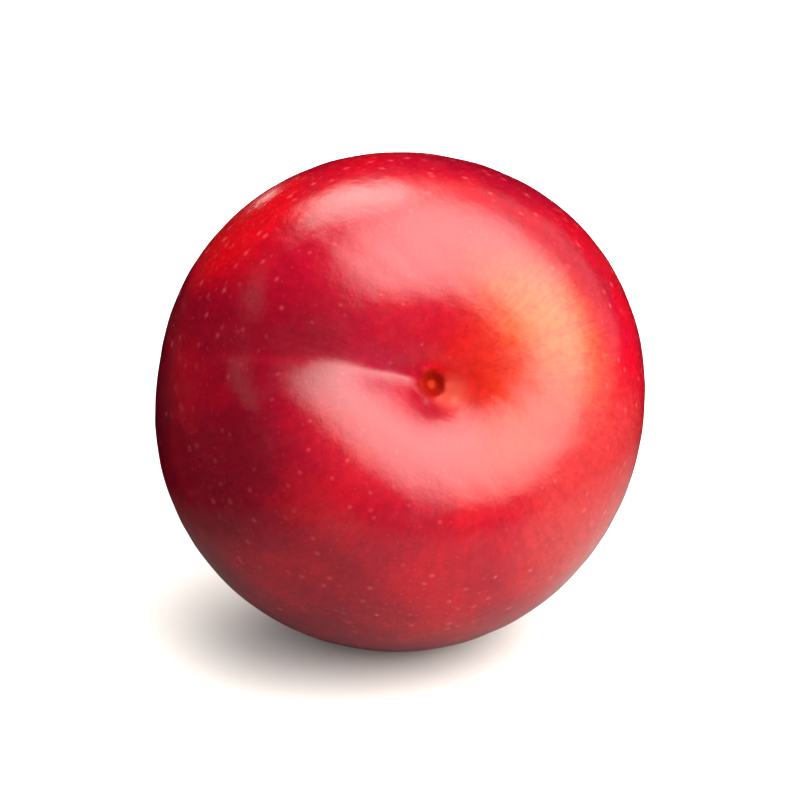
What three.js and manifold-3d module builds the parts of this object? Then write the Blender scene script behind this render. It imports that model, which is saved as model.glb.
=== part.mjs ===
// A ripe red plum, one whole fruit, lying on its side as it comes to rest on a table.
// Millimetres, +Z up. -Y is the front, where the stem cavity looks out.
//
// The fruit is drawn first in its own frame: z runs along the core from the blossom tip to the stem,
// and x points to the side that the suture runs down. Its surface is one height over a unit sphere,
// a rounded body with a bowl at the stem, a pit where the stem sat, and the suture's groove between
// two low shoulders. The fruit is then rolled and tipped into its resting pose, and the skin's dent
// where it bears on the table is one flat cut.
import * as THREE from 'three';
import { mergeVertices } from 'three/addons/utils/BufferGeometryUtils.js';
import Module from 'manifold-3d';

// The body: half sizes, the two cheeks not quite alike, and how far it leans from an ellipsoid (2)
// towards a box.
const SUTURE_HALF = 29.66;
const LOW_CHEEK_HALF = 30.04;
const HIGH_CHEEK_HALF = 30.71;
const STEM_HALF = 31.43;
const TIP_HALF = 29.8;
const SQUARENESS = 2.06;

// The bowl at the stem: its depth and reach, its centre off the core, and how much longer it is
// along the suture than across. It opens between these heights of a unit direction.
const BOWL_DEPTH = 8.37;
const BOWL_REACH = 13.8;
const BOWL_POWER = 2.49;
const BOWL_X = -1.0;
const BOWL_Y = -1.7;
const BOWL_STRETCH = 1.08;
const BOWL_OPENS = [-0.1, 0.3];

// The steeper funnel in the bowl's middle, and the small pit that the stem broke out of.
const FUNNEL_DEPTH = 2.93;
const FUNNEL_REACH = 5.5;
const FUNNEL_POWER = 2.25;
const FUNNEL_X = -0.5;
const FUNNEL_Y = 0.9;
const FUNNEL_STRETCH = 1.15;
const PIT_DEPTH = 1.6;
const PIT_REACH = 2.0;
const PIT_POWER = 2.4;

// The suture's groove: its depth at the stem and on the cheek, the angle that it fades over, its
// width on either side, and how its floor rounds from a crease to a soft valley. The pairs are
// ranges: millimetres off the core for the start and the bend, degrees from the stem for the rest.
const GROOVE_AT_STEM = 3.31;
const GROOVE_AT_CHEEK = 0.22;
const GROOVE_FADE = 46;
const GROOVE_HIGH_SIDE = 4.7;
const GROOVE_LOW_SIDE = 4.6;
const GROOVE_SPREAD = 0.5;
const GROOVE_SPREADS = [40, 100];
const CREASE_POWER = 1.55;
const VALLEY_POWER = 2.0;
const CREASE_OPENS = [14, 42];
const GROOVE_STARTS = [0.7, 11.0];
const GROOVE_ENDS = [180, 150];
const SUTURE_BEND = 1.60;
const SUTURE_BENDS = [4, 30];

// The shoulders on the groove's high and low side: height, distance from the suture, width, and the
// angle from the stem with its spread. Both rise between these millimetres off the core.
const HIGH_SHOULDER = 1.08;
const HIGH_OFFSET = 10.7;
const HIGH_WIDTH = 5.5;
const HIGH_ANGLE = 24;
const HIGH_SPREAD = 17;
const LOW_SHOULDER = 0.85;
const LOW_OFFSET = 11.6;
const LOW_WIDTH = 7.8;
const LOW_ANGLE = 42;
const LOW_SPREAD = 11;
const SHOULDERS_RISE = [-10.3, 8.6];

// The grown fruit is never quite true: slow swells round it, in millimetres, with the number of
// waves round the core, the first one's start, and how far the second one twists from stem to tip.
const SWELL = 0.16;
const CHEEK_WAVES = 3;
const CHEEK_WAVE_START = 1;
const TWISTED_WAVES = 2;
const WAVE_TWIST = 4;

// How the fruit lies: rolled about its core, tipped forward from upright, turned to the right.
const ROLL = 163.6;
const TIP = 62.2;
const TURN = 13.9;
const DENT = 0.6;
const FLAT_TOLERANCE = 0.001;

// The mesh is closest at the stem and along the suture, where the shape turns fastest.
const COLUMNS = 68;
const ROWS = 40;
const ROW_START = 0.36;
const ROW_POWER = 1.7;
const COLUMN_CROWDING = 0.5;

// The floor block's size in cheek half sizes, which makes it wider than the fruit.
const FLOOR_SHARE = 4;

// Rises smoothly from 0 at the range's first value to 1 at its second, whichever is larger.
function ease([from, to], value) {
  const t = THREE.MathUtils.clamp((value - from) / (to - from), 0, 1);
  return t * t * (3 - 2 * t);
}

// A rounded hump, 1 in the middle and close to 0 past its reach.
function hump(distance, reach, power = 2) {
  return Math.exp(-((Math.abs(distance) / reach) ** power));
}

// The rounded body's height in a direction, before the bowl and the groove.
function bodyHeight({ x, y, z }) {
  const cheek = y < 0 ? HIGH_CHEEK_HALF : LOW_CHEEK_HALF;
  const length = z > 0 ? STEM_HALF : TIP_HALF;
  const sum = Math.abs(x / SUTURE_HALF) ** SQUARENESS
    + Math.abs(y / cheek) ** SQUARENESS
    + Math.abs(z / length) ** SQUARENESS;
  return sum ** (-1 / SQUARENESS);
}

// How much the bowl, the funnel and the stem's pit take away at a place across the core.
function stemHollow(across, y) {
  const fromBowl = Math.hypot((across - BOWL_X) / BOWL_STRETCH, y - BOWL_Y);
  const fromFunnel = Math.hypot((across - FUNNEL_X) / FUNNEL_STRETCH, y - FUNNEL_Y);
  const fromCore = Math.hypot(across, y);
  return BOWL_DEPTH * hump(fromBowl, BOWL_REACH, BOWL_POWER)
    + FUNNEL_DEPTH * hump(fromFunnel, FUNNEL_REACH, FUNNEL_POWER)
    + PIT_DEPTH * hump(fromCore, PIT_REACH, PIT_POWER);
}

// The suture: a crease near the stem that opens into a shallow valley and dies out at the tip.
function sutureGroove(across, y, angle) {
  const offLine = y - SUTURE_BEND * ease(SUTURE_BENDS, across);
  const depth = GROOVE_AT_CHEEK + (GROOVE_AT_STEM - GROOVE_AT_CHEEK) * hump(angle, GROOVE_FADE);
  const side = offLine < 0 ? GROOVE_HIGH_SIDE : GROOVE_LOW_SIDE;
  const width = side * (1 + GROOVE_SPREAD * ease(GROOVE_SPREADS, angle));
  const power = CREASE_POWER + (VALLEY_POWER - CREASE_POWER) * ease(CREASE_OPENS, angle);
  return depth * hump(offLine, width, power) * ease(GROOVE_ENDS, angle) * ease(GROOVE_STARTS, across);
}

// The two shoulders that the suture parts as it leaves the bowl.
function shoulders(across, y, angle) {
  const high = HIGH_SHOULDER * hump(y + HIGH_OFFSET, HIGH_WIDTH) * hump(angle - HIGH_ANGLE, HIGH_SPREAD);
  const low = LOW_SHOULDER * hump(y - LOW_OFFSET, LOW_WIDTH) * hump(angle - LOW_ANGLE, LOW_SPREAD);
  return (high + low) * ease(SHOULDERS_RISE, across);
}

// Slow swells: a three-sided one round the cheeks, and one that twists from stem to tip.
function swells(direction) {
  const around = Math.atan2(direction.y, direction.x);
  const cheek = 1 - direction.z ** 2;
  const sided = Math.cos(CHEEK_WAVES * around + CHEEK_WAVE_START);
  const twisted = Math.sin(TWISTED_WAVES * around + WAVE_TWIST * direction.z);
  return SWELL * cheek * (sided + twisted);
}

// The skin's distance from the fruit's middle in a direction of unit length.
function skinHeight(direction) {
  const body = bodyHeight(direction);
  const across = body * direction.x;
  const y = body * direction.y;
  const angle = THREE.MathUtils.radToDeg(Math.acos(THREE.MathUtils.clamp(direction.z, -1, 1)));
  return body
    - stemHollow(across, y) * ease(BOWL_OPENS, direction.z)
    - sutureGroove(across, y, angle)
    + shoulders(across, y, angle)
    + swells(direction);
}

// The whole fruit's skin, from a sphere's own columns and rows, spaced anew and raised.
function fruitGeometry() {
  const geometry = new THREE.SphereGeometry(1, COLUMNS, ROWS);
  const { position, uv } = geometry.attributes;
  const direction = new THREE.Vector3();
  for (let i = 0; i < position.count; i += 1) {
    const column = i % (COLUMNS + 1);
    const turn = 2 * Math.PI * (column % COLUMNS) / COLUMNS;
    const row = 1 - uv.getY(i);
    const fromStem = Math.PI * (ROW_START * row + (1 - ROW_START) * row ** ROW_POWER);
    const around = turn - COLUMN_CROWDING * Math.sin(turn);
    direction.set(
      Math.sin(fromStem) * Math.cos(around),
      Math.sin(fromStem) * Math.sin(around),
      Math.cos(fromStem),
    );
    direction.multiplyScalar(skinHeight(direction.clone().normalize()));
    position.setXYZ(i, direction.x, direction.y, direction.z);
  }
  geometry.deleteAttribute('normal');
  geometry.deleteAttribute('uv');
  return mergeVertices(geometry);
}

// Rolls the fruit about its core, tips it forward and turns it, as it lies on the table.
function layDown(geometry) {
  geometry.rotateZ(THREE.MathUtils.degToRad(ROLL));
  geometry.rotateX(THREE.MathUtils.degToRad(TIP));
  geometry.rotateZ(THREE.MathUtils.degToRad(TURN));
  return geometry;
}

// A closed three.js geometry as a solid that can be cut.
function asSolid(wasm, geometry) {
  return new wasm.Manifold(new wasm.Mesh({
    numProp: 3,
    vertProperties: new Float32Array(geometry.attributes.position.array),
    triVerts: new Uint32Array(geometry.index.array),
  }));
}

// A block whose top is level with the floor, wider than the fruit.
function floorBlock(floor) {
  const size = FLOOR_SHARE * HIGH_CHEEK_HALF;
  const block = new THREE.BoxGeometry(size, size, size);
  block.translate(0, 0, floor - size / 2);
  block.deleteAttribute('normal');
  block.deleteAttribute('uv');
  return mergeVertices(block);
}

// Flattens the lowest point by the dent's depth, and puts the flat spot's middle at the origin.
function cutRestingSpot(wasm, geometry) {
  geometry.computeBoundingBox();
  const floor = geometry.boundingBox.min.z + DENT;
  const cut = asSolid(wasm, geometry).subtract(asSolid(wasm, floorBlock(floor))).getMesh();
  const rested = new THREE.BufferGeometry();
  rested.setAttribute('position', new THREE.BufferAttribute(cut.vertProperties, 3));
  rested.setIndex(new THREE.BufferAttribute(cut.triVerts, 1));
  rested.translate(0, 0, -floor);
  const spot = new THREE.Box3();
  const corner = new THREE.Vector3();
  for (let i = 0; i < rested.attributes.position.count; i += 1) {
    corner.fromBufferAttribute(rested.attributes.position, i);
    if (Math.abs(corner.z) < FLAT_TOLERANCE) spot.expandByPoint(corner);
  }
  spot.getCenter(corner);
  rested.translate(-corner.x, -corner.y, 0);
  rested.computeVertexNormals();
  return rested;
}

const wasm = await Module();
wasm.setup();

const skin = new THREE.MeshStandardMaterial({ color: 0xb0101e, roughness: 0.3, metalness: 0 });
const plum = new THREE.Mesh(cutRestingSpot(wasm, layDown(fruitGeometry())), skin);
plum.name = 'plum';

const fruit = new THREE.Group();
fruit.add(plum);

export default fruit;
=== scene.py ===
# %% [markdown]
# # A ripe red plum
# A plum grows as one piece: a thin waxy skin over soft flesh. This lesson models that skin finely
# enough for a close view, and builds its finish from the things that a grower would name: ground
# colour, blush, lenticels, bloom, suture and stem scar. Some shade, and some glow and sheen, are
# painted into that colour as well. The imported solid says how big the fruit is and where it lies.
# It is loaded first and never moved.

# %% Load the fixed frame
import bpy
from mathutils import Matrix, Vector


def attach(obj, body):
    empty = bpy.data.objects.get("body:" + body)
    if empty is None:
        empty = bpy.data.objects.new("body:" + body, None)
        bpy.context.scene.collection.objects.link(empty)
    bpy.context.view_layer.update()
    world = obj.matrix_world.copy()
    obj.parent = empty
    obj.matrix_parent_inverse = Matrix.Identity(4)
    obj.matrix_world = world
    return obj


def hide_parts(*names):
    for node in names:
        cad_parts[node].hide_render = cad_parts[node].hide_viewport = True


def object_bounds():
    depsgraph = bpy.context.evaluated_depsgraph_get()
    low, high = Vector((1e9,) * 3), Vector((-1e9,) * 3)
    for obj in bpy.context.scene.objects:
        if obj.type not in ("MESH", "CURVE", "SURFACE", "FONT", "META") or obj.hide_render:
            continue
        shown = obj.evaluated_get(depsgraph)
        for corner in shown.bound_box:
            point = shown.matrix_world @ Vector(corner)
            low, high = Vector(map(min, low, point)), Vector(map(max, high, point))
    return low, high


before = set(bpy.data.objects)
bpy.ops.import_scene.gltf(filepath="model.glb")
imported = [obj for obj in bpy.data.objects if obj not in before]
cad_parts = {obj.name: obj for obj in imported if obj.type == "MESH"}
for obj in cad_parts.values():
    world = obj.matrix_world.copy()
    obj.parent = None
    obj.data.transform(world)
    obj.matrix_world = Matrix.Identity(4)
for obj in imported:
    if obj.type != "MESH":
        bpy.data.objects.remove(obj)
cad_box = [list(corner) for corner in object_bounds()]
print("solid's box in metres:", cad_box)

# %% [markdown]
# ## The tools
# Shapes are arrays of points, so NumPy does the sums for the whole skin at once. The fruit is
# worked out in millimetres, a maker's unit, and turned into Blender's metres in one place.

# %% Bring in the tools
import math
import bpy
import numpy as np
from mathutils import Quaternion, Vector
MM = 0.001
studio = bpy.context.scene
print("Blender", bpy.app.version_string)

# %% [markdown]
# ## The camera
# Fruit on a table is looked at from a little above, close to level with it. A long lens from a
# metre away keeps the outline almost free of perspective. The lens is worked out from the width of
# the view, which is easier to think about than a focal length. The plain "Standard" view transform
# keeps a deep red deep, where a film-like one would grey it.

# %% Set up the camera
ELEVATION = math.radians(22)
CAMERA_DISTANCE = 1.0
VIEW_WIDTH = 0.097
AIM_HEIGHT = 0.0304
SENSOR_MM = 36
cad_low, cad_high = map(Vector, cad_box)
aim = (cad_low + cad_high) / 2
aim.z = AIM_HEIGHT
to_camera = Vector((0, -math.cos(ELEVATION), math.sin(ELEVATION)))
camera = bpy.data.objects.new("camera", bpy.data.cameras.new("camera"))
camera.data.sensor_width = SENSOR_MM
camera.data.lens = SENSOR_MM * CAMERA_DISTANCE / VIEW_WIDTH
camera.location = aim + to_camera * CAMERA_DISTANCE
camera.rotation_euler = to_camera.to_track_quat("Z", "Y").to_euler()
studio.collection.objects.link(camera)
studio.camera = camera
studio.view_settings.view_transform = "Standard"
print("lens, mm:", round(camera.data.lens, 1))

# %% [markdown]
# ## Helpers for materials
# A material is a graph of nodes. These four helpers keep the later cells short: one makes any node
# with its inputs set or linked, one does arithmetic, one turns a range of values into a smooth
# mask, and one mixes two colours.

# %% Define the node helpers
def make(tree, kind, inputs=None, **settings):
    """A new node. An input given as another node's output is linked, and any other is set."""
    node = tree.nodes.new(kind)
    for name, value in settings.items():
        setattr(node, name, value)
    for name, value in (inputs or {}).items():
        if isinstance(value, bpy.types.NodeSocket):
            tree.links.new(value, node.inputs[name])
        else:
            node.inputs[name].default_value = value
    return node


def calc(tree, operation, first, second=0.0):
    """Arithmetic on two values, sockets or numbers."""
    return make(tree, "ShaderNodeMath", {0: first, 1: second}, operation=operation).outputs[0]


def mask(tree, value, start, end, low=0.0, high=1.0):
    """A smooth step: low before start, high past end."""
    limits = {"Value": value, "From Min": start, "From Max": end, "To Min": low, "To Max": high}
    return make(tree, "ShaderNodeMapRange", limits, interpolation_type="SMOOTHSTEP").outputs[0]


def blend(tree, share, under, over, mode="MIX"):
    """Two colours mixed by a share."""
    inputs = {0: share, 6: under, 7: over}
    return make(tree, "ShaderNodeMix", inputs, data_type="RGBA", blend_type=mode).outputs[2]


print("helpers: make, calc, mask, blend")

# %% [markdown]
# ## The table
# The fruit lies on a plain pale table. A sheet of pale card is all that a tabletop studio uses. In
# a real studio the far end of the card falls out of the light, so a glossy fruit mirrors only a
# small bright patch of it, in front and to the right. Here the card fades with distance from that
# spot in reflections alone, and stays evenly pale to the eye.

# %% Lay the table
TABLE_HALF = 3.0
TABLE_TONE = (0.545, 0.515, 0.505, 1)
TABLE_ROUGHNESS = 0.8
BRIGHT_SPOT = (0.022, -0.018, 0.0)
PATCH_STARTS, PATCH_ENDS, PATCH_TONE = 0.020, 0.085, 0.16
corners = [(x * TABLE_HALF, y * TABLE_HALF, 0) for x, y in ((-1, -1), (1, -1), (1, 1), (-1, 1))]
table_mesh = bpy.data.meshes.new("table")
table_mesh.from_pydata(corners, [], [(0, 1, 2, 3)])
table = bpy.data.objects.new("table", table_mesh)
studio.collection.objects.link(table)

card = bpy.data.materials.new("pale_card")
card.use_nodes = True
tree = card.node_tree
place = make(tree, "ShaderNodeTexCoord").outputs["Object"]
to_spot = make(tree, "ShaderNodeVectorMath", {0: place, 1: BRIGHT_SPOT}, operation="DISTANCE")
mirrored = make(tree, "ShaderNodeLightPath").outputs["Is Glossy Ray"]
patch = mask(tree, to_spot.outputs["Value"], PATCH_STARTS, PATCH_ENDS, PATCH_TONE, 0.0)
patch_tone = make(tree, "ShaderNodeCombineColor", {0: patch, 1: patch, 2: patch}).outputs[0]
card_shader = tree.nodes["Principled BSDF"]
tree.links.new(blend(tree, mirrored, TABLE_TONE, patch_tone), card_shader.inputs["Base Color"])
card_shader.inputs["Roughness"].default_value = TABLE_ROUGHNESS
card_shader.inputs["Specular IOR Level"].default_value = 0.0
table_mesh.materials.append(card)
print("table:", 2 * TABLE_HALF, "m square")

# %% [markdown]
# ## The room
# Soft light from all round fills the shadows. More of it comes from the right than from the left,
# as in a room with its white wall on one side, and that shades the fruit round. A world background
# does this with no lamps to place. It isn't mirrored at all, as if dark cloth hung on the walls, or
# the gloss would wash out the red at every edge.

# %% Light the room
WHITE = (1, 1, 1, 1)
WALL_WAY = (0.88, -0.42, -0.20)
ROOM_FILL = (0.7, 3.9)
room = bpy.data.worlds.new("room")
room.use_nodes = True
studio.world = room
tree = room.node_tree
ray = make(tree, "ShaderNodeLightPath").outputs
way = make(tree, "ShaderNodeTexCoord").outputs["Generated"]
toward = make(tree, "ShaderNodeVectorMath", {0: way, 1: WALL_WAY}, operation="DOT_PRODUCT")
fill = mask(tree, toward.outputs["Value"], -1.0, 1.0, *ROOM_FILL)
diffuse = calc(tree, "MULTIPLY", ray["Is Diffuse Ray"], fill)
seen = calc(tree, "MAXIMUM", ray["Is Camera Ray"], diffuse)
background = tree.nodes["Background"].inputs
tree.links.new(seen, background["Strength"])
background["Color"].default_value = WHITE
print("room fill, least and most:", ROOM_FILL)

# %% [markdown]
# ## The lamps
# Fruit is lit by one big softbox, up in front and to the right, and the skin mirrors it as a broad
# pale sheen. Four lamps that are smaller or weaker add the glints nearer the edges, which say how
# round and how waxy the fruit is. To place a light by its sheen, think of where the sheen should
# sit on a ball and bounce the view off that spot: `mirror` does that. A real softbox is a little
# warm, is brightest in its middle and dies away at its rim, so each lamp does the same.

# %% Hang the softboxes
LAMP_DISTANCE = 0.7
WARM_WHITE = (1.0, 0.98, 0.89, 1)
rightward = Vector((1, 0, 0))
upward = to_camera.cross(rightward)


def mirror(right, up):
    """The way to what the fruit mirrors at a spot that far right and up, of a radius of 1."""
    facing = rightward * right + upward * up + to_camera * math.sqrt(1 - right * right - up * up)
    return 2 * facing.dot(to_camera) * facing - to_camera


def softbox(name, spot, size, tilt, brightness, rim):
    """A soft lamp that the fruit mirrors at the spot. rim: how much of its half width fades."""
    lamp = bpy.data.lights.new(name, "AREA")
    lamp.shape = "RECTANGLE"
    lamp.size, lamp.size_y = size
    lamp.energy = brightness * math.pi * size[0] * size[1]
    lamp.use_nodes = True
    tree = lamp.node_tree
    tree.nodes.clear()
    place = make(tree, "ShaderNodeNewGeometry").outputs["Parametric"]
    sides = make(tree, "ShaderNodeSeparateXYZ", {0: place}).outputs
    glow = 1.0
    for side in "XY":
        inward = calc(tree, "PINGPONG", sides[side], 0.5)
        glow = calc(tree, "MULTIPLY", glow, mask(tree, inward, 0.0, rim / 2))
    light = make(tree, "ShaderNodeEmission", {"Strength": glow, "Color": WARM_WHITE}).outputs[0]
    make(tree, "ShaderNodeOutputLight", {0: light})
    holder = bpy.data.objects.new(name, lamp)
    lamp_way = mirror(*spot)
    holder.location = aim + lamp_way * LAMP_DISTANCE
    facing = lamp_way.to_track_quat("Z", "Y") @ Quaternion((0, 0, 1), math.radians(tilt))
    holder.rotation_euler = facing.to_euler()
    studio.collection.objects.link(holder)
    print(f"{name}: {size[0]} x {size[1]} m, {lamp.energy:.1f} W")


# name, spot on the ball, size in metres, tilt in degrees, brightness, faded share
softbox("key_softbox", (0.270, 0.380), (1.57, 2.72), -22, 7.9, 0.95)
softbox("top_strip", (-0.139, 0.771), (0.58, 0.66), 52, 8.1, 0.93)
softbox("rim_softbox", (0.533, 0.466), (1.37, 2.01), -34, 0.64, 0.46)
softbox("side_strip", (-0.595, 0.30), (0.27, 0.75), 65, 0.54, 0.88)
softbox("edge_strip", (-0.545, 0.805), (0.06, 0.13), -34, 3.0, 0.9)

# %% [markdown]
# ## The fruit's own frame
# A plum is easiest to describe standing up. z runs along its core from the blossom tip to the stem,
# and x points to the side that the suture runs down. Every size here is one of the solid's, in
# millimetres and degrees, so the skin has the solid's own form.

# %% Name the fruit's sizes
SUTURE_HALF, LOW_CHEEK_HALF, HIGH_CHEEK_HALF = 29.66, 30.04, 30.71
STEM_HALF, TIP_HALF, SQUARENESS = 31.43, 29.8, 2.06
BOWL_DEPTH, BOWL_REACH, BOWL_POWER, BOWL_OPENS = 8.37, 13.8, 2.49, (-0.1, 0.3)
BOWL_X, BOWL_Y, BOWL_STRETCH = -1.0, -1.7, 1.08
FUNNEL_DEPTH, FUNNEL_REACH, FUNNEL_POWER = 2.93, 5.5, 2.25
FUNNEL_X, FUNNEL_Y, FUNNEL_STRETCH = -0.5, 0.9, 1.15
PIT_DEPTH, PIT_REACH, PIT_POWER = 1.6, 2.0, 2.4
GROOVE_AT_STEM, GROOVE_AT_CHEEK, GROOVE_FADE = 3.31, 0.22, 46
GROOVE_HIGH_SIDE, GROOVE_LOW_SIDE = 4.7, 4.6
GROOVE_SPREAD, GROOVE_SPREADS = 0.5, (40, 100)
CREASE_POWER, VALLEY_POWER, CREASE_OPENS = 1.55, 2.0, (14, 42)
GROOVE_STARTS, GROOVE_ENDS = (0.7, 11.0), (180, 150)
SUTURE_BEND, SUTURE_BENDS = 1.60, (4, 30)
HIGH_SHOULDER, HIGH_OFFSET, HIGH_WIDTH, HIGH_ANGLE, HIGH_SPREAD = 1.08, 10.7, 5.5, 24, 17
LOW_SHOULDER, LOW_OFFSET, LOW_WIDTH, LOW_ANGLE, LOW_SPREAD = 0.85, 11.6, 7.8, 42, 11
SHOULDERS_RISE = (-10.3, 8.6)
SWELL, CHEEK_WAVES, CHEEK_WAVE_START, TWISTED_WAVES, WAVE_TWIST = 0.16, 3, 1, 2, 4
print("fruit is about", SUTURE_HALF * 2, "mm across the suture")

# %% [markdown]
# ## A place on the skin
# The skin is one height over a ball of directions, so a place on it is known by its direction. The
# finish needs the same few measures that the form does: how far across the core, and the angle down
# from the stem. They are worked out once and kept together.

# %% Measure every place on the skin
def ease(span, value):
    """Rises smoothly from 0 at the span's start to 1 at its end, whichever is larger."""
    start, end = span
    t = np.clip((value - start) / (end - start), 0, 1)
    return t * t * (3 - 2 * t)


def hump(distance, reach, power=2.0):
    """A rounded hump, 1 in the middle and close to 0 past its reach."""
    return np.exp(-(np.abs(distance) / reach) ** power)


def measure(way):
    """What the form and the finish need to know about places on the skin, from their directions."""
    x, y, z = way.T
    cheek = np.where(y < 0, HIGH_CHEEK_HALF, LOW_CHEEK_HALF)
    length = np.where(z > 0, STEM_HALF, TIP_HALF)
    sides = (x / SUTURE_HALF, y / cheek, z / length)
    body = sum(np.abs(side) ** SQUARENESS for side in sides) ** (-1 / SQUARENESS)
    return {
        "body": body, "x": body * x, "y": body * y, "lean": z,
        "core": np.hypot(body * x, body * y),
        "angle": np.degrees(np.arccos(np.clip(z, -1, 1))),
        "around": np.arctan2(y, x),
    }


print("measures: body, x, y, lean, core, angle, around")

# %% [markdown]
# ## The form
# A bowl sinks in at the stem with a steeper funnel in its middle. The suture starts there as a
# crease, and opens into a shallow valley between two shoulders. Humps of different reach add up to
# this without an edge anywhere, which suits a thing that swelled as it grew.

# %% Define the stem's hollow and the suture
def stem_hollow(at):
    """How much the bowl, the funnel and the stem's pit take away."""
    from_bowl = np.hypot((at["x"] - BOWL_X) / BOWL_STRETCH, at["y"] - BOWL_Y)
    from_funnel = np.hypot((at["x"] - FUNNEL_X) / FUNNEL_STRETCH, at["y"] - FUNNEL_Y)
    hollow = (BOWL_DEPTH * hump(from_bowl, BOWL_REACH, BOWL_POWER)
              + FUNNEL_DEPTH * hump(from_funnel, FUNNEL_REACH, FUNNEL_POWER)
              + PIT_DEPTH * hump(at["core"], PIT_REACH, PIT_POWER))
    return hollow * ease(BOWL_OPENS, at["lean"])


def off_suture(at):
    """How far to one side of the suture's line a place is. The line bends a little."""
    return at["y"] - SUTURE_BEND * ease(SUTURE_BENDS, at["x"])


def suture_groove(at):
    """The suture, a crease near the stem that opens into a valley and dies out at the tip."""
    off_line = off_suture(at)
    depth = GROOVE_AT_CHEEK + (GROOVE_AT_STEM - GROOVE_AT_CHEEK) * hump(at["angle"], GROOVE_FADE)
    width = np.where(off_line < 0, GROOVE_HIGH_SIDE, GROOVE_LOW_SIDE)
    width = width * (1 + GROOVE_SPREAD * ease(GROOVE_SPREADS, at["angle"]))
    power = CREASE_POWER + (VALLEY_POWER - CREASE_POWER) * ease(CREASE_OPENS, at["angle"])
    groove = depth * hump(off_line, width, power)
    return groove * ease(GROOVE_ENDS, at["angle"]) * ease(GROOVE_STARTS, at["x"])


print("form: stem_hollow, suture_groove")

# %% [markdown]
# ## Shoulders and swells
# Flesh swells beside the suture as it leaves the bowl, more on one side than on the other. The rest
# of a real fruit is never quite round either, so slow waves run round it. They fade to nothing at
# the stem and the tip, where the hollows have the say.

# %% Define the shoulders and the swells
def shoulders(at):
    """The two shoulders that the suture parts as it leaves the bowl."""
    high = HIGH_SHOULDER * hump(at["y"] + HIGH_OFFSET, HIGH_WIDTH)
    low = LOW_SHOULDER * hump(at["y"] - LOW_OFFSET, LOW_WIDTH)
    pair = (high * hump(at["angle"] - HIGH_ANGLE, HIGH_SPREAD)
            + low * hump(at["angle"] - LOW_ANGLE, LOW_SPREAD))
    return pair * ease(SHOULDERS_RISE, at["x"])


def swells(at):
    """Slow swells that keep the fruit from being quite true."""
    sided = np.cos(CHEEK_WAVES * at["around"] + CHEEK_WAVE_START)
    twisted = np.sin(TWISTED_WAVES * at["around"] + WAVE_TWIST * at["lean"])
    return SWELL * (1 - at["lean"] ** 2) * (sided + twisted)


print("form: shoulders, and swells up to", 2 * SWELL, "mm")

# %% [markdown]
# ## The small relief
# Some shapes are too fine for the solid but show in a close view: the corky disc and the low torn
# rim of the stem scar, which sits a little off the core, the point that the flower's style left in
# its dimple at the tip, and a slight unevenness of the skin. They are shapes too, so they go in the
# mesh and not only in the shader. The solid's flat facets cut a hair inside the true curve, and the
# whole skin is drawn in by as much, so that it stays inside the solid's box.

# %% Define the small relief
SCAR_X, SCAR_Y = 0.5, 0.1
SCAR_RIM, SCAR_RIM_RADIUS, SCAR_RIM_WIDTH = 0.04, 2.7, 0.7
SCAR_DISC, SCAR_DISC_RADIUS, SCAR_DISC_POWER = 0.85, 2.6, 4
SCAR_PLUG, SCAR_PLUG_RADIUS, SCAR_PLUG_POWER = 0.25, 0.9, 3
TEAR_WAVES, TEAR_STARTS = ((0.07, 3, 0.6), (0.04, 7, 2.1)), (0.5, 1.6)
TIP_DIMPLE, TIP_DIMPLE_REACH = 0.35, 3.2
TIP_POINT, TIP_POINT_REACH = 0.32, 0.7
UNEVEN, FACET_GAP = 0.03, 0.04
WAVES_X, BEND_X, BENDS_X = 0.9, 1.7, 0.5
WAVES_Y, BEND_Y, BENDS_Y = 0.8, 1.3, 14


def from_scar(at):
    """How far across the core a place is from the scar's middle, which is a little off the pole."""
    return np.hypot(at["x"] - SCAR_X, at["y"] - SCAR_Y)


def scar_relief(at):
    """The stem scar's rim, disc and plug, with an outline that wobbles as a tear does."""
    wobble = sum(size * np.sin(count * at["around"] + start) for size, count, start in TEAR_WAVES)
    middle = from_scar(at)
    middle = middle * (1 + wobble * ease(TEAR_STARTS, middle))
    return (SCAR_RIM * hump(middle - SCAR_RIM_RADIUS, SCAR_RIM_WIDTH)
            + SCAR_DISC * hump(middle, SCAR_DISC_RADIUS, SCAR_DISC_POWER)
            + SCAR_PLUG * hump(middle, SCAR_PLUG_RADIUS, SCAR_PLUG_POWER))


def small_relief(at):
    """Fine shapes that stand on the form, in millimetres."""
    point = TIP_POINT * hump(at["core"], TIP_POINT_REACH)
    dimple = TIP_DIMPLE * hump(at["core"], TIP_DIMPLE_REACH)
    wavy_x = np.sin(WAVES_X * at["x"] + BEND_X * np.sin(BENDS_X * at["y"]))
    wavy_y = np.sin(WAVES_Y * at["y"] + BEND_Y * np.sin(BENDS_Y * at["lean"]))
    uneven = UNEVEN * (wavy_x * wavy_y)
    return np.where(at["lean"] > 0, scar_relief(at), point - dimple) + uneven - UNEVEN - FACET_GAP


print("relief: scar, tip point, unevenness up to", UNEVEN, "mm")

# %% [markdown]
# ## The mesh
# The skin is one grid of columns from stem to tip. Its rows crowd towards the stem and its columns
# towards the suture, where the form turns fastest, so the fine scar costs no extra faces elsewhere.
# A subdivided cube would be more even, but would put no more points where they are needed.

# %% Make the grid
COLUMNS, ROWS = 384, 248
ROW_START, ROW_POWER, COLUMN_CROWDING = 0.36, 1.7, 0.5


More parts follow.
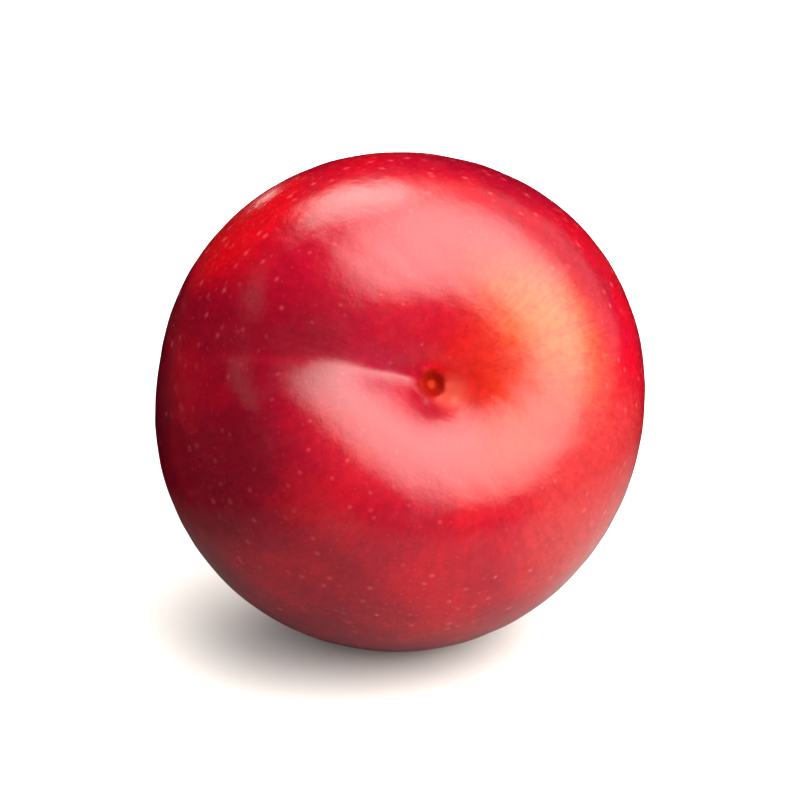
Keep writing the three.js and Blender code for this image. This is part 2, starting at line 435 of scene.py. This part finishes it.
def grid_ways():
    """A direction for every point of the grid, with one point for each pole."""
    row = np.arange(1, ROWS) / ROWS
    turn = 2 * np.pi * np.arange(COLUMNS) / COLUMNS
    from_stem = np.pi * (ROW_START * row + (1 - ROW_START) * row ** ROW_POWER)
    around = turn - COLUMN_CROWDING * np.sin(turn)
    tilt, spin = np.meshgrid(from_stem, around, indexing="ij")
    ways = np.stack([np.sin(tilt) * np.cos(spin), np.sin(tilt) * np.sin(spin), np.cos(tilt)], -1)
    return np.vstack([[(0, 0, 1)], ways.reshape(-1, 3), [(0, 0, -1)]])


def grid_faces():
    """Quads between the rows, and a fan of triangles at each pole."""
    faces = []
    last = 1 + (ROWS - 1) * COLUMNS
    for column in range(COLUMNS):
        following = (column + 1) % COLUMNS
        faces.append((0, 1 + column, 1 + following))
        for row in range(ROWS - 2):
            here, below = 1 + row * COLUMNS, 1 + (row + 1) * COLUMNS
            faces.append((here + column, below + column, below + following, here + following))
        faces.append((last - COLUMNS + column, last, last - COLUMNS + following))
    return faces


ways = grid_ways()
at = measure(ways)
print("grid points:", len(ways))

# %% [markdown]
# ## Laying it down
# The fruit is rolled about its core, tipped forward and turned, as it lies on the table, and slid
# until its box's middle is over the solid's. Ripe skin gives a little where it bears, so the lowest
# half millimetre or so is pressed flat.

# %% Lay the fruit down
ROLL, TIP, TURN = (math.radians(degrees) for degrees in (163.6, 62.2, 13.9))
DENT = 0.6


def turned(points, about, angle):
    """Points turned about the x or z axis."""
    c, s = math.cos(angle), math.sin(angle)
    matrices = {"x": [[1, 0, 0], [0, c, -s], [0, s, c]], "z": [[c, -s, 0], [s, c, 0], [0, 0, 1]]}
    return points @ np.array(matrices[about]).T


def lay_down(points):
    """Points of the standing fruit, in its resting pose."""
    return turned(turned(turned(points, "z", ROLL), "x", TIP), "z", TURN)


form = at["body"] - stem_hollow(at) - suture_groove(at) + shoulders(at) + swells(at)
resting = lay_down(ways * form[:, None])
solid_middle = (np.array(cad_box[0]) + np.array(cad_box[1])) / 2 / MM
slide = solid_middle - (resting.min(0) + resting.max(0)) / 2
slide[2] = -(resting[:, 2].min() + DENT)
skin_points = lay_down(ways * (form + small_relief(at))[:, None]) + slide
skin_points[:, 2] = np.maximum(skin_points[:, 2], 0)
print("box of the fruit, mm:", np.round(skin_points.min(0), 2), np.round(skin_points.max(0), 2))

# %% [markdown]
# ## The fruit
# The points become one closed mesh, since a plum has no seams and nothing to join. It is shaded
# smooth, as wax has no facets, and it rides on the part's one body and stands for the plain solid.

# %% Make the fruit
fruit_mesh = bpy.data.meshes.new("plum_fruit")
fruit_mesh.from_pydata((skin_points * MM).tolist(), [], grid_faces())
fruit_mesh.shade_smooth()
fruit = bpy.data.objects.new("plum_fruit", fruit_mesh)
studio.collection.objects.link(fruit)
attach(fruit, "root")
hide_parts("plum")
print("fruit:", len(fruit_mesh.polygons), "faces")

# %% [markdown]
# ## Colour near the stem
# A plum's colour follows how it grew. A leaf that lay on its shoulder leaves a golden crescent
# there with an orange-red fringe, and one wall of the bowl glows scarlet. The skin beside the
# suture is a cooler red, part skin colour and part a painted bluish cast of the sheen there. A pale
# tan halo beside the scar is part tan skin and part a painted highlight on the funnel's lip. These
# regions could be painted by hand, but a formula keeps each edge soft and is changed with one
# number. Each is a share from 0 to 1 kept on the mesh, so that it sticks to the fruit, and the
# shader breaks its edge up with noise later.

# %% Paint the regions near the stem
STEM_SIDE = (0.0, 0.4)
BLUSH_X, BLUSH_Y = -2.2, 2.0
BLUSH_RING, BLUSH_WIDTH, BLUSH_MIDDLE, BLUSH_ARC = 16.4, 5.2, 230, 45
FRINGE_RING, FRINGE_WIDTH, FRINGE_MIDDLE, FRINGE_ARC = 12.0, 6.0, 180, 68
# x and y across the core and reach, in millimetres
# the cool spot is partly a painted bluish cast of the sheen, the halo partly a painted highlight
BOWL_GLOW, COOL_SPOT, HALO_SPOT = (-4.5, -3.8, 6.5), (10.5, 0.5, 3.8), (-2.8, 1.2, 3.2)
stem_side = ease(STEM_SIDE, at["lean"])


def keep(name, values):
    """Stores one number for every point of the mesh, for the shader to read."""
    layer = fruit_mesh.attributes.new(name, "FLOAT", "POINT")
    layer.data.foreach_set("value", np.asarray(values, dtype=np.float32))


def crescent(x, y, ring, width, middle, arc):
    """Part of a ring round a point: strongest at one angle round it, and gone an arc away."""
    off_x, off_y = at["x"] - x, at["y"] - y
    off_middle = (np.degrees(np.arctan2(off_y, off_x)) - middle + 180) % 360 - 180
    return hump(np.hypot(off_x, off_y) - ring, width) * hump(off_middle, arc) * stem_side


def spot(x, y, reach):
    """A round region, strongest at one point."""
    return hump(np.hypot(at["x"] - x, at["y"] - y), reach) * stem_side


keep("blush", crescent(BLUSH_X, BLUSH_Y, BLUSH_RING, BLUSH_WIDTH, BLUSH_MIDDLE, BLUSH_ARC))
keep("fringe", crescent(0, 0, FRINGE_RING, FRINGE_WIDTH, FRINGE_MIDDLE, FRINGE_ARC))
keep("bowl", spot(*BOWL_GLOW))
keep("cool", spot(*COOL_SPOT))
keep("halo", spot(*HALO_SPOT))
print("regions near the stem: blush, fringe, bowl, cool, halo")

# %% [markdown]
# ## Colour on the sides
# The sides differ more slowly. A pale pink glow on the lower right, as the fruit lies, is painted
# light. A purer, brighter red on the upper-left cheek is part skin colour and part painted light. A
# dark wine on the lower left, along the top and on the lower side is painted shade. Each is a broad
# region round one way out from the middle of the fruit. Two more spots of painted shade sit in the
# hollows by the suture and under the scar.

# %% Paint the sides
# the way out, and how nearly a place must face it for the share to start and to be full
# painted light: a pale pink glow on the lower right, as the fruit lies
PAINTED_GLOW_WAY, PAINTED_GLOW_FACES = (-0.77, 0.30, 0.56), (0.82, 1.0)
# part skin colour, part painted light: a brighter, purer red on the upper-left cheek
VIVID_WAY, VIVID_FACES = (0.80, -0.55, 0.24), (0.92, 1.0)
# painted shade: darker on the lower left, along the top, on the lower side and in two hollows
SHADED_SIDE_WAY, SHADED_SIDE_FACES = (0.85, 0.49, 0.10), (0.30, 1.0)
SHADED_TOP_WAY, SHADED_TOP_FACES, SHADED_TOP_SHARE = (-0.35, -0.85, 0.38), (0.76, 0.96), 0.45
SHADED_LOWER_WAY, SHADED_LOWER_FACES, SHADED_LOWER_SHARE = (-0.05, 0.87, 0.49), (0.80, 0.98), 0.30
SUTURE_SHADE_SPOT, SCAR_SHADE_SPOT, SHADE_SPOT_SHARE = (15.0, -2.5, 6.5), (1.0, 4.0, 3.5), 0.5


def facing_way(way, faces):
    """A broad region round one way out from the middle of the fruit."""
    return ease(faces, ways @ np.array(way))


# the share of painted shade, laid over the skin as a dark wine
painted_shade = (facing_way(SHADED_SIDE_WAY, SHADED_SIDE_FACES)
        + SHADED_TOP_SHARE * facing_way(SHADED_TOP_WAY, SHADED_TOP_FACES)
        + SHADED_LOWER_SHARE * facing_way(SHADED_LOWER_WAY, SHADED_LOWER_FACES)
        + SHADE_SPOT_SHARE * (spot(*SUTURE_SHADE_SPOT) + spot(*SCAR_SHADE_SPOT)))
keep("painted_glow", facing_way(PAINTED_GLOW_WAY, PAINTED_GLOW_FACES))
keep("vivid", facing_way(VIVID_WAY, VIVID_FACES))
keep("painted_shade", np.minimum(painted_shade, 1.0))
print("sides: thin, vivid, dusk")

# %% [markdown]
# ## Lines and distances
# The suture's line, the scar and the tip have to be coloured just where their shapes are, so the
# mesh also keeps a share for the line and the distances from the scar and the tip. Past the fruit's
# waist a distance means nothing, and is set far off.

# %% Keep the suture's line and the distances
SUTURE_LINE_WIDTH, SUTURE_LINE_ENDS, SUTURE_LINE_POWER = 0.7, 60, 4
FAR_OFF = 99.0
suture_line = hump(off_suture(at), SUTURE_LINE_WIDTH) * ease(GROOVE_STARTS, at["x"])
keep("suture", suture_line * hump(at["angle"], SUTURE_LINE_ENDS, SUTURE_LINE_POWER))
keep("core", np.where(at["lean"] > 0, from_scar(at), FAR_OFF))
keep("tip", np.where(at["lean"] < 0, at["core"], FAR_OFF))
keep("down", at["angle"] / 180)
print("kept:", [layer.name for layer in fruit_mesh.attributes if layer.data_type == "FLOAT"])

# %% [markdown]
# ## Places for the patterns
# Procedural patterns need a place to be read at. Specks and patches use the standing fruit's own
# millimetres. Streaks run from stem to tip, so they read a place that changes fast around the fruit
# and slowly along it.

# %% Store the pattern places
STREAK_RADIUS, STREAK_LENGTH = 30.0, 6.0


def keep_vector(name, vectors):
    """Stores one vector for every point of the mesh."""
    layer = fruit_mesh.attributes.new(name, "FLOAT_VECTOR", "POINT")
    layer.data.foreach_set("vector", np.asarray(vectors, dtype=np.float32).ravel())


keep_vector("grown", ways * form[:, None])
keep_vector("streak", np.stack([STREAK_RADIUS * np.cos(at["around"]),
                                STREAK_RADIUS * np.sin(at["around"]),
                                STREAK_LENGTH * np.radians(at["angle"])], -1))
print("patterns read: grown, streak")

# %% [markdown]
# ## The skin's patterns
# Three patterns stir everything that follows: slow patches, a mottle of about a millimetre, and
# streaks drawn out from stem to tip, which calm down near the scar. Noise makes them all, so
# nothing repeats anywhere on the fruit.

# %% Start the skin material
PATCH_NOISE = {"per_mm": 0.07, "detail": 3.0}
MOTTLE_NOISE = {"per_mm": 0.9, "detail": 4.0, "rough": 0.6}
STREAK_NOISE = {"per_mm": 1.1, "detail": 4.0, "rough": 0.65}
# the four numbers of a mask are where it starts and ends, and its values there
STREAKS_OFF_SCAR = (3.0, 14.0, 0.15, 1.0)
skin = bpy.data.materials.new("plum_skin")
skin.use_nodes = True
tree = skin.node_tree
shader = tree.nodes["Principled BSDF"]


def kept(name, output="Fac"):
    """A value or vector that the mesh keeps."""
    return make(tree, "ShaderNodeAttribute", attribute_name=name).outputs[output]


def noise(place, per_mm, detail=2.0, rough=0.5):
    """Soft noise from 0 to 1 around 0.5, with so many lumps in a millimetre."""
    inputs = {"Vector": place, "Scale": per_mm, "Detail": detail, "Roughness": rough}
    return make(tree, "ShaderNodeTexNoise", inputs).outputs["Fac"]


grown = kept("grown", "Vector")
drawn = noise(kept("streak", "Vector"), **STREAK_NOISE)
off_scar = mask(tree, kept("core"), *STREAKS_OFF_SCAR)
calmed = calc(tree, "MULTIPLY", calc(tree, "SUBTRACT", drawn, 0.5), off_scar)
streaks = calc(tree, "ADD", calmed, 0.5)
patches = noise(grown, **PATCH_NOISE)
mottle = noise(grown, **MOTTLE_NOISE)
print("patterns: patches, mottle, streaks")

# %% [markdown]
# ## The ground colour
# Under the wax, the skin is a deep crimson that shifts towards scarlet in slow patches. A dark wine
# is painted over it as shade, and a cooler red beside the suture is part skin colour and part a
# painted bluish cast of the sheen. From here each layer goes over the last, from the widest pattern
# to the smallest, much as a painter would glaze it.

# %% Lay the ground colour
CRIMSON = (0.175, 0.0003, 0.0070, 1)
SCARLET = (0.225, 0.0003, 0.0050, 1)
# the dark wine is painted shade
SHADE_WINE = (0.070, 0.0002, 0.0040, 1)
# part skin colour, part a painted bluish cast of the sheen beside the suture
COOL_RED = (0.150, 0.0012, 0.0120, 1)
SCARLET_PATCHES = (0.42, 0.66)
SHADE_IN_PATCHES = (0.75, 0.35, 0.55, 1.0)
colour = blend(tree, mask(tree, patches, *SCARLET_PATCHES), CRIMSON, SCARLET)
painted_shade_share = calc(tree, "MULTIPLY", kept("painted_shade"), mask(tree, patches, *SHADE_IN_PATCHES))
colour = blend(tree, painted_shade_share, colour, SHADE_WINE)
colour = blend(tree, kept("cool"), colour, COOL_RED)
print("ground colour: crimson, scarlet, wine and a cooler red by the suture")

# %% [markdown]
# ## Blush and bowl
# Now the kept regions are coloured: the purer cheek, part skin colour and part painted light, the
# glowing bowl, the pale glow of painted light, and last the golden blush inside its orange-red
# fringe. The regions' edges are moved in and out by the mottle and the streaks, so that none reads
# as a painted disc.

# %% Add the blush
# region, colour, how far the noise moves its edge, and the shares where it starts and is full
RED_LAYERS = (
    # a purer red that is part skin colour and part painted light
    ("vivid", (0.270, 0.0003, 0.0030, 1), 0.6, 0.0, 0.9),
    ("bowl", (0.260, 0.0020, 0.0018, 1), 0.4, 0.0, 1.0),
    # a pale pink glow of painted light on the lower right
    ("painted_glow", (0.205, 0.0110, 0.0125, 1), 0.5, 0.0, 1.0),
    ("fringe", (0.240, 0.0095, 0.0020, 1), 0.5, 0.0, 1.1),
    ("blush", (0.280, 0.0430, 0.0040, 1), 0.8, 0.10, 1.20),
)


def frayed(region, amount, start, end):
    """A region's share with its edge moved in and out by the mottling and the streaks."""
    stir = calc(tree, "SUBTRACT", calc(tree, "ADD", mottle, streaks), 1.0)
    push = calc(tree, "ADD", calc(tree, "MULTIPLY", stir, amount), 1.0)
    return mask(tree, calc(tree, "MULTIPLY", region, push), start, end)


for region, tone, amount, start, end in RED_LAYERS:
    colour = blend(tree, frayed(kept(region), amount, start, end), colour, tone)
print("coloured:", [layer[0] for layer in RED_LAYERS])

# %% [markdown]
# ## Streaks and mottling
# The pigment sits in tiny cells, so even an even-looking plum is finely uneven up close: a little
# lighter and darker, millimetre by millimetre, and drawn out along the fruit. A grey grain is
# multiplied over the colour, which changes how dark it is and leaves its hue alone.

# %% Add the fine variation
GRAIN_SPAN, STREAK_GRAIN, MOTTLE_GRAIN = (0.3, 0.7), (0.92, 1.05), (-0.08, 0.08)
streak_grain = mask(tree, streaks, *GRAIN_SPAN, *STREAK_GRAIN)
mottle_grain = mask(tree, mottle, *GRAIN_SPAN, *MOTTLE_GRAIN)
grain = calc(tree, "ADD", streak_grain, mottle_grain)
grain_colour = make(tree, "ShaderNodeCombineColor", {0: grain, 1: grain, 2: grain}).outputs[0]
colour = blend(tree, 1.0, colour, grain_colour, "MULTIPLY")
print("streaks and mottling added")

# %% [markdown]
# ## Lenticels
# Lenticels are the skin's breathing pores, pale pinpoints well under a millimetre across, scattered
# at random and denser towards the tip. A 3D cell pattern makes them: its cell centres are random
# points in space, and where the skin passes close to one, it cuts a round dot. Two sizes of cell
# give both the larger dots and the dust between them. They are fainter under the painted shade and
# in the dark of the mottle, or they would read as sprayed on.

# %% Scatter the lenticels
LENTICEL, LENTICEL_SHARE = (0.42, 0.075, 0.080, 1), 0.38
# cells in a millimetre, and a dot's radius and soft edge in millimetres
DOTS, DUST, DUST_SHARE = (0.46, 0.82, 0.75), (0.90, 0.40, 0.36), 0.5
DOTS_GROW, DOT_AT_STEM, DOT_AT_TIP = (0.12, 0.50), 0.50, 0.90
# the dots fade in the dark of the mottle and under the painted shade
DOTS_IN_MOTTLE, DOTS_IN_SHADE = (0.30, 0.55, 0.45, 0.95), (0.2, 1.0, 1.0, 0.4)


def dots(per_mm, radius_mm, soft_mm):
    """Round dots where the skin passes near random points, larger and denser towards the tip."""
    inputs = {"Vector": grown, "Scale": per_mm, "Randomness": 1.0}
    cells = make(tree, "ShaderNodeTexVoronoi", inputs)
    distance = calc(tree, "DIVIDE", cells.outputs["Distance"], per_mm)
    radii = (DOT_AT_STEM * radius_mm, DOT_AT_TIP * radius_mm)
    inside = calc(tree, "SUBTRACT", mask(tree, kept("down"), *DOTS_GROW, *radii), distance)
    return mask(tree, inside, 0.0, soft_mm)


lenticels = calc(tree, "MAXIMUM", dots(*DOTS), calc(tree, "MULTIPLY", dots(*DUST), DUST_SHARE))
lenticels = calc(tree, "MULTIPLY", lenticels, mask(tree, mottle, *DOTS_IN_MOTTLE))
# fewer dots under the painted shade
lenticels = calc(tree, "MULTIPLY", lenticels, mask(tree, kept("painted_shade"), *DOTS_IN_SHADE))
colour = blend(tree, calc(tree, "MULTIPLY", lenticels, LENTICEL_SHARE), colour, LENTICEL)
print("lenticels scattered")

# %% [markdown]
# ## The stem scar
# Where the stem broke away there is a red-brown disc with a paler corky middle. Beside it lies a
# pale tan halo, part tan skin and part a painted highlight on the funnel's lip. Rings of colour by
# distance from the scar match the rings of relief. The distance is stirred with noise, since a tear
# is never a true circle. The suture's line and the tip's dry point are touched in the same way.

# %% Colour the scar, the suture and the tip
JITTER_MM = 1.2
# the halo is part tan skin and part a painted highlight on the funnel's lip
HALO_TONE, HALO_SHARE = (0.300, 0.0400, 0.0240, 1), (0.10, 0.90, 0.0, 0.65)
SCAR_TONE, SCAR_EDGE = (0.135, 0.0018, 0.0003, 1), (3.10, 2.20)
PLUG_TONE, PLUG_EDGE = (0.240, 0.0140, 0.0035, 1), (1.30, 0.25)
SUTURE_TONE, SUTURE_SHARE = (0.160, 0.0015, 0.0080, 1), 0.5
TIP_TONE, TIP_EDGE = (0.150, 0.045, 0.020, 1), (1.3, 0.5)
jitter = calc(tree, "MULTIPLY", calc(tree, "SUBTRACT", mottle, 0.5), JITTER_MM)
stirred = calc(tree, "ADD", kept("core"), jitter)
colour = blend(tree, mask(tree, kept("halo"), *HALO_SHARE), colour, HALO_TONE)
colour = blend(tree, mask(tree, stirred, *SCAR_EDGE), colour, SCAR_TONE)
colour = blend(tree, mask(tree, stirred, *PLUG_EDGE), colour, PLUG_TONE)
colour = blend(tree, calc(tree, "MULTIPLY", kept("suture"), SUTURE_SHARE), colour, SUTURE_TONE)
colour = blend(tree, mask(tree, kept("tip"), *TIP_EDGE), colour, TIP_TONE)
print("scar, suture and tip coloured")

# %% [markdown]
# ## Bloom
# Bloom is the dusty wax that a plum grows. Handling rubs it off the high places and leaves it in
# thin smears. It scatters light, so it is paler, cooler and rougher than the bare skin. A fruit
# that has been washed or handled keeps only a trace. One soft noise makes the smears, and the gloss
# reads the same one later, so that colour and gloss agree.

# %% Dust on the bloom
BLOOM, BLOOM_SHARE = (0.36, 0.10, 0.16, 1), 0.02
BLOOM_NOISE, BLOOM_SMEARS = {"per_mm": 0.11, "detail": 5.0, "rough": 0.62}, (0.56, 0.80)
smears = noise(grown, **BLOOM_NOISE)
bloom = calc(tree, "MULTIPLY", mask(tree, smears, *BLOOM_SMEARS), BLOOM_SHARE)
colour = blend(tree, bloom, colour, BLOOM)
tree.links.new(colour, shader.inputs["Base Color"])
print("bloom dusted on")

# %% [markdown]
# ## Gloss
# The bare wax is glossy, and bloom and lenticels are a little duller. The scar is dry cork, and the
# skin just round it is too dry and creased to mirror anything, so both lose nearly all their gloss.
# That takes two masks, a tight one for the cork's roughness and a wide one for how much is
# mirrored.

# %% Set the gloss
WAX_IOR = 1.45
WAX_ROUGHNESS, LENTICEL_ROUGHER, CORK_ROUGHER = (0.40, 0.80, 0.17, 0.28), 0.10, 0.35
CORK_EDGE, DULL_EDGE, MIRRORS = (3.0, 2.3), (5.5, 2.2), (0.5, 0.04)
corky = mask(tree, stirred, *CORK_EDGE)
dull = mask(tree, stirred, *DULL_EDGE)
wax_rough = mask(tree, smears, *WAX_ROUGHNESS)
rough = calc(tree, "ADD", wax_rough, calc(tree, "MULTIPLY", lenticels, LENTICEL_ROUGHER))
rough = calc(tree, "ADD", rough, calc(tree, "MULTIPLY", corky, CORK_ROUGHER))
tree.links.new(rough, shader.inputs["Roughness"])
shader.inputs["IOR"].default_value = WAX_IOR
tree.links.new(mask(tree, dull, 0.0, 1.0, *MIRRORS), shader.inputs["Specular IOR Level"])
print("skin mirrors, wax and scar:", MIRRORS)

# %% [markdown]
# ## Fine relief
# The last thing is relief too fine for any mesh: a ripple of a couple of millimetres, a grain as
# fine as the skin's cells, the lenticels standing up a hair, and corky roughness in the scar. Bump
# nodes lay one over the next. Heights are in metres, so each is the real thing's.

# %% Add the fine relief
RIPPLE_NOISE, RIPPLE_HEIGHT = {"per_mm": 0.55, "detail": 2.0}, 0.00006
CELL_NOISE, CELL_HEIGHT = {"per_mm": 3.2, "detail": 2.0}, 0.000010
CORK_NOISE, CORK_HEIGHT = {"per_mm": 4.0, "detail": 4.0, "rough": 0.6}, 0.00008
LENTICEL_HEIGHT = 0.000010


def bump(height, metres, before=None):
    """Relief in the shader, laid over earlier relief."""
    inputs = {"Height": height, "Distance": metres, "Strength": 1.0}
    if before:
        inputs["Normal"] = before
    return make(tree, "ShaderNodeBump", inputs).outputs[0]


relief = bump(noise(grown, **RIPPLE_NOISE), RIPPLE_HEIGHT)
relief = bump(noise(grown, **CELL_NOISE), CELL_HEIGHT, relief)
relief = bump(lenticels, LENTICEL_HEIGHT, relief)
cork = calc(tree, "MULTIPLY", corky, noise(grown, **CORK_NOISE))
relief = bump(cork, CORK_HEIGHT, relief)
tree.links.new(relief, shader.inputs["Normal"])
fruit_mesh.materials.append(skin)
print("skin nodes:", len(tree.nodes))
